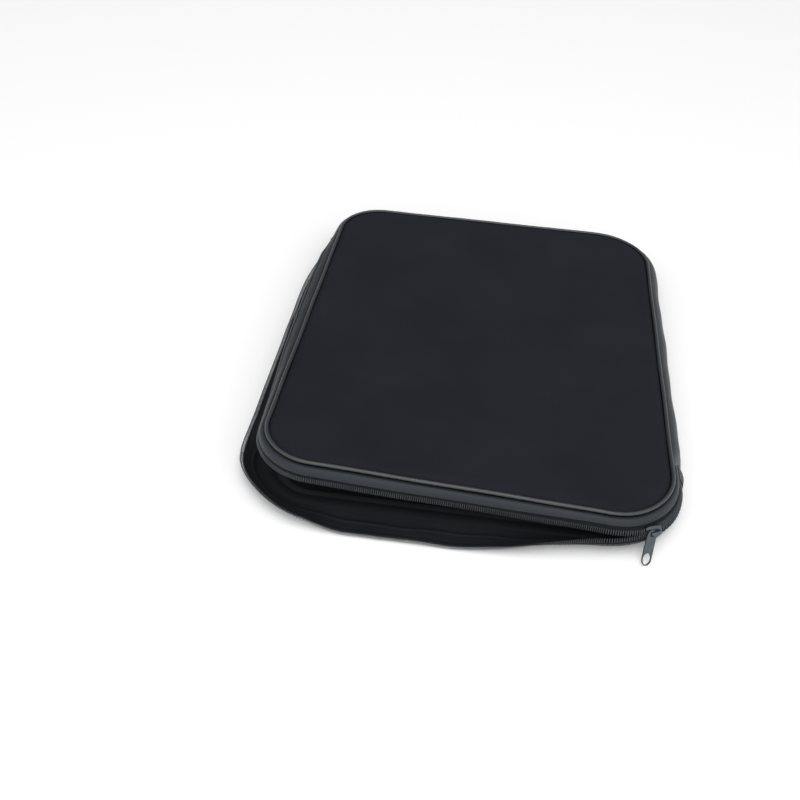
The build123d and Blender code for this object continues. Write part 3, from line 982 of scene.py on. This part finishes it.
def squared_off(wave, power):
    """A sine or cosine drawn towards 1 and -1, so that the circle it makes turns squarish."""
    return np.sign(wave) * np.abs(wave) ** power


wing_length = 6.1 * mm
wing_gap = 2.1 * mm
wing_rim = 1.4 * mm
wing_halves = np.array([(-1, 2.9), (-0.55, 3.5), (0.1, 4.5), (0.6, 4.8), (0.9, 4.6), (1, 3.9)])


def press_wing(face):
    """One wing of the body, wide where the rows come in, with its rims folded towards the other."""
    wing = cut_cloth("wing", along=24, across=20)
    share = points_of(wing)
    at, half_there = wing_halves.T
    half = np.interp(share[:, 0], at, half_there * mm)
    across = np.clip(share[:, 1] / 0.8, -1, 1)
    fold = np.clip((np.abs(share[:, 1]) - 0.7) / 0.3, 0, 1)
    notch = 1.1 * mm * (1 - across**2) * np.clip((share[:, 0] - 0.4) / 0.6, 0, 1)
    swell = 0.35 * mm * (1 - share[:, 0] ** 2)
    rise = face * (wing_gap + swell - wing_rim * fold**1.5)
    set_points(wing, on_slider(share[:, 0] * wing_length - notch, across * half, rise))
    return wing


def stand_post():
    """The post between the wings, which parts the two rows."""
    post = cut_cloth("post", along=20, across=2)
    share = points_of(post)
    angle = share[:, 0] * math.pi
    ahead = 4.0 * mm + 1.3 * mm * np.cos(angle)
    set_points(post, on_slider(ahead, 1.1 * mm * np.sin(angle), share[:, 1] * 2 * mm))
    return post


slider_shell = cast_metal(
    "slider_shell", [press_wing(1), press_wing(-1), stand_post()],
    thickness=0.8 * mm, rounding=0.22 * mm,
)
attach(slider_shell, "slider")
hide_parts("slider_body")

# The crown: a rounded bar bent into a low arch that stands on the outer wing
crown_half_span = 3.65 * mm
crown_foot = 2.3 * mm
crown_height = 2.85 * mm
crown = cut_cloth("crown_arch", along=28, across=16)
crown_share = points_of(crown)
sweep = (1 - crown_share[:, 0]) * math.pi / 2
round_bar = crown_share[:, 1] * math.pi
bar_half = 0.55 * mm * np.cos(round_bar)
set_points(crown, on_slider(
    squared_off(np.cos(sweep), 0.55) * (crown_half_span + bar_half),
    1.1 * mm * squared_off(np.sin(round_bar), 0.6),
    crown_foot + np.sin(sweep) ** 0.6 * (crown_height + bar_half),
))
crown = cast_metal("crown_arch", [crown], thickness=0, rounding=0.1 * mm)
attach(crown, "slider")
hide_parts("slider_crown")

# The pull: a flat tab that hangs on the crown, with a squarish eye and a wide oval hole
pull_hang = math.radians(26)
pull_way = plate_down * math.cos(pull_hang) + slider_ahead * math.sin(pull_hang)
pull_side = np.cross(plate_out, pull_way)
pull_pivot = slider_centre + 3.55 * mm * slider_ahead + 3.1 * mm * plate_out
pull_rise = 0.6 * mm
pull_middle = 8.475
pull_end = 17.5
pull_half = 4.0


def pierce_plate(hole_at, hole_half, boxy, way, rim):
    """A plate between a hole and the rim round it; the rim is (share of a lap, along, across) in mm."""
    plate = cut_cloth("plate", along=60, across=4)
    share = points_of(plate)
    lap = (share[:, 0] + 1) / 2
    lap_stops, rim_along, rim_across = np.array(rim).T
    angle = np.radians(np.interp(lap, [0, 0.2, 1], [-30, 30, 330]))
    hole_along = hole_at + way * hole_half[0] * squared_off(np.cos(angle), boxy)
    hole_across = hole_half[1] * squared_off(np.sin(angle), boxy)
    outer = (share[:, 1] + 1) / 2
    along = hole_along * (1 - outer) + np.interp(lap, lap_stops, rim_along) * outer
    across = hole_across * (1 - outer) + np.interp(lap, lap_stops, rim_across) * outer
    place = np.outer(along * mm, pull_way) + np.outer(across * mm, pull_side)
    set_points(plate, pull_pivot + place + pull_rise * plate_out)
    return plate


end_steps = 24


def round_end(step):
    """A point of the pull's round end, after that many steps along it."""
    share = step / end_steps
    along = pull_end + pull_half * math.sin(math.pi * share)
    return 0.35 + 0.5 * share, along, pull_half * math.cos(math.pi * share)


middle_edge = [(0, pull_middle, -pull_half), (0.2, pull_middle, pull_half)]
last_corner = [(1, pull_middle, -pull_half)]
eye_side = [(0.35, 3.0, 4.0), (0.45, -0.8, 3.3), (0.53, -2.7, 1.9), (0.6, -2.9, 0)]
eye_rim = eye_side + [(1.2 - lap, along, -across) for lap, along, across in reversed(eye_side[:-1])]
end_rim = [round_end(step) for step in range(end_steps + 1)]
eye_half = pierce_plate(0, (1.5, 1.6), 0.45, 1, middle_edge + eye_rim + last_corner)
end_half = pierce_plate(2 * pull_middle, (4.0, 3.4), 1, -1, middle_edge + end_rim + last_corner)
pull = cast_metal("pull_plate", [eye_half, end_half], thickness=1.1 * mm, rounding=0.2 * mm)
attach(pull, "pull")
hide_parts("pull_tab")

# The clamps at the rows' last turns, at the back end of the zip
clamp_walk = zip_end - 3.05 * mm
clamp_half_length = 1.25 * mm
clamp_half_width = 2.1 * mm
clamp_half_depth = 1.35 * mm
clamp_middle = 1.0 * mm


def clamp_stop(name, shape, chain_at):
    """A small clamp pressed round a row whose chain lies that far along its strip."""
    clamp = cut_cloth(name, along=6, across=16)
    share = points_of(clamp)
    angle = share[:, 1] * math.pi
    narrowed = 1 - 0.2 * share[:, 0] ** 4
    along_strip = clamp_half_width * squared_off(np.cos(angle), 0.6) * narrowed
    proud = clamp_half_depth * squared_off(np.sin(angle), 0.6) * narrowed
    walked = clamp_walk + share[:, 0] * clamp_half_length
    set_points(clamp, shape(walked, chain_at - clamp_middle + along_strip, proud))
    close_piece(mend_normals=False)
    bpy.ops.object.mode_set(mode="EDIT")
    bpy.ops.mesh.fill_holes(sides=0)
    bpy.ops.object.mode_set(mode="OBJECT")
    return cast_metal(name, [clamp], thickness=0, rounding=0.15 * mm)


upper_stop = clamp_stop("upper_row_stop", upper_cloth, upper_length)
hinge_on_fold(upper_stop)
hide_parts("upper_top_stop")
lower_stop = clamp_stop("lower_row_stop", lower_cloth, lower_length)
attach(lower_stop, "lower_shell")
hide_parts("lower_top_stop")

# ------------------------------------------------------------------ tab over the zip's end
# A scrap of the gusset cloth laid over the shut end of the zip, where the spine begins, and
# caught under both hems.
tab_begin = -6 * mm
tab_length = 14 * mm
tab_top = 21.5 * mm
tab_drop = 12.9 * mm
tab_bulge = 1.1 * mm

# How far out from the seam the cloth under the tab lies at each height, as (height, out) in mm
cloth_reach = np.array([(8.6, 9.0), (9.9, 9.7), (12.6, 10.4), (15.9, 9.8), (18.6, 8.2), (21.5, 6.3)])


def tab_cloth(walked, share):
    """Points on the tab, from the upper hem down over the chain to the lower hem."""
    height = tab_top - tab_drop * share
    at, reach_there = cloth_reach.T
    reach = np.interp(height, at * mm, reach_there * mm)
    full = np.sin(np.clip((walked - tab_begin) / tab_length, 0, 1) * math.pi)
    return stand_on_seam(walked, reach + tab_bulge * full * np.sin(share * math.pi), height)


end_tab = lay_strip(
    "end_tab_cloth", tab_begin, tab_begin + tab_length,
    along=24, across=24, shape=tab_cloth, thickness=0.6 * mm,
)
end_tab.data.materials.append(gusset_smooth)
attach(end_tab, "lower_shell")
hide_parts("zip_end_tab")

# ------------------------------------------------------------------ stitches
# Rows of dark thread along the two hems: each stitch is a short length of thread, thickest in
# its middle, laid a little aslant and repeated along its seam.
thread = bpy.data.materials.new("thread")
thread.use_nodes = True
thread_shader = thread.node_tree.nodes["Principled BSDF"]
thread_shader.inputs["Base Color"].default_value = (0.006, 0.007, 0.009, 1)
thread_shader.inputs["Roughness"].default_value = 0.45
stitch_pitch = 3.1 * mm
stitch_radius = 0.24 * mm
stitch_stretch = 4.6
stitch_slant = 0.12
stitch_begin = 9 * mm
stitch_end = zip_end - 9 * mm


def sew_row(name, shape):
    """Stitches along the hems' length; shape places them by walk, across and proud."""
    bpy.ops.object.select_all(action="DESELECT")
    bpy.ops.mesh.primitive_uv_sphere_add(segments=6, ring_count=5, radius=stitch_radius)
    row = bpy.context.object
    row.name = name
    row.data.name = name
    points = points_of(row)
    points[:, 0] *= stitch_stretch
    points[:, 1] += stitch_slant * points[:, 0]
    set_points(row, points)
    repeat_along(row, int((stitch_end - stitch_begin) / stitch_pitch), stitch_pitch)
    points = points_of(row)
    walked = stitch_begin + stitch_pitch / 2 + points[:, 0]
    set_points(row, shape(walked, points[:, 1], points[:, 2]))
    bpy.ops.object.shade_smooth()
    row.data.materials.append(thread)
    return row


def upper_hem(walked, across, proud):
    """Points beside the upper stitching line, just above the hem's fold."""
    return upper_cloth(walked, hem_reach(walked) - 1.1 * mm + across, proud + 0.72 * mm)


def lower_hem(walked, across, proud):
    """Points beside the lower stitching line."""
    return lower_cloth(walked, lower_width - 1.1 * mm + across, proud + 0.7 * mm)


upper_stitches = sew_row("upper_hem_stitches", upper_hem)
hinge_on_fold(upper_stitches)
lower_stitches = sew_row("lower_hem_stitches", lower_hem)
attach(lower_stitches, "lower_shell")
